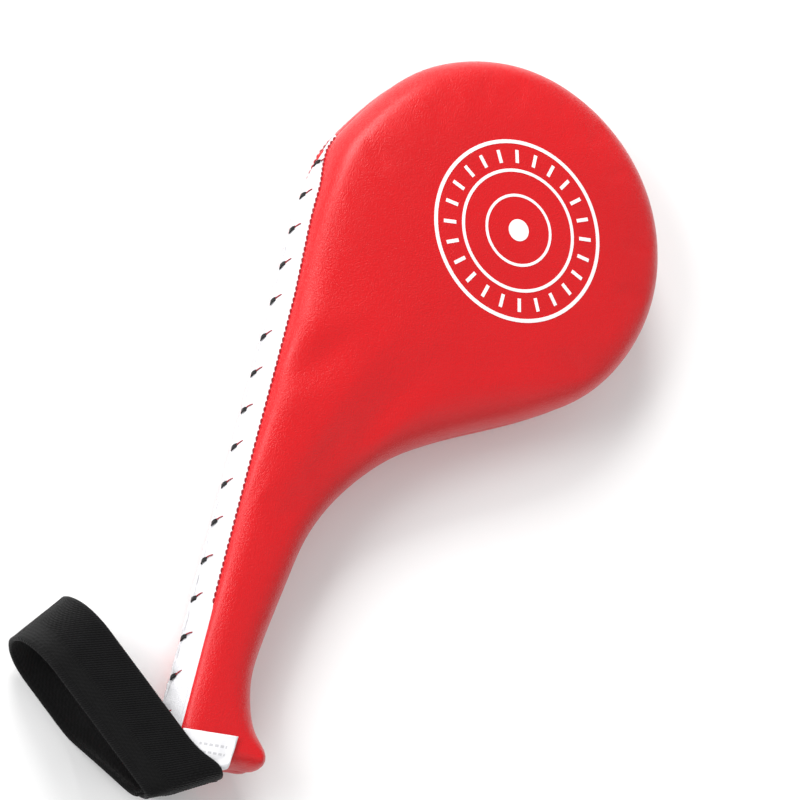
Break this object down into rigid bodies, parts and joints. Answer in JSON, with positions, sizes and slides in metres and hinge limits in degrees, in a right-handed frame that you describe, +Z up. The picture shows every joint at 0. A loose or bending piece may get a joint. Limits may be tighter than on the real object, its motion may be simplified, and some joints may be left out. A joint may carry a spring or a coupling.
{
  "type": "kick paddle",
  "caption": "Padded drumstick-shaped kick paddle for martial arts training: round striking head, slim grip, laced white side strips and an elastic wrist loop at the butt.",
  "frame": {"origin": "centre of the round head on the flat back face that the paddle lies on", "axes": "+Y from the handle to the tip of the head, +Z up through the striking face, the laced edge with the white strips on -X"},
  "size_m": [0.2656, 0.4036, 0.0443],
  "materials": {
    "red_leather": "satin",
    "white_leather": "satin",
    "stiff_board": "matte",
    "firm_foam": "matte",
    "soft_foam": "matte",
    "dark_red_thread": "matte",
    "black_thread": "matte",
    "white_print": "satin",
    "satin_label": "satin",
    "black_webbing": "matte"
  },
  "bodies": {
    "paddle": {"front_cover": "red_leather", "back_cover": "red_leather", "front_side_strip": "white_leather", "back_side_strip": "white_leather", "core_board": "stiff_board", "front_firm_layer": "firm_foam", "back_firm_layer": "firm_foam", "front_soft_pad": "soft_foam", "back_soft_pad": "soft_foam", "front_grip_foam": "firm_foam", "back_grip_foam": "firm_foam", "front_seam_thread": "dark_red_thread", "back_seam_thread": "dark_red_thread", "closure_lacing": "black_thread", "closure_ticks": "dark_red_thread", "closure_tongue": "red_leather", "target_print": "white_print", "care_label": "satin_label", "strap_end_front": "black_webbing", "strap_end_back": "black_webbing", "strap_tack_thread": "black_thread"},
    "wrist_loop": {"wrist_strap": "black_webbing"}
  },
  "joints": [
    {"name": "wrist_loop_swing", "type": "hinge", "parent": "paddle", "child": "wrist_loop", "pos_m": [-0.088, -0.301, 0.022], "axis": [0, 0, 1], "range_deg": [-30, 120]}
  ]
}
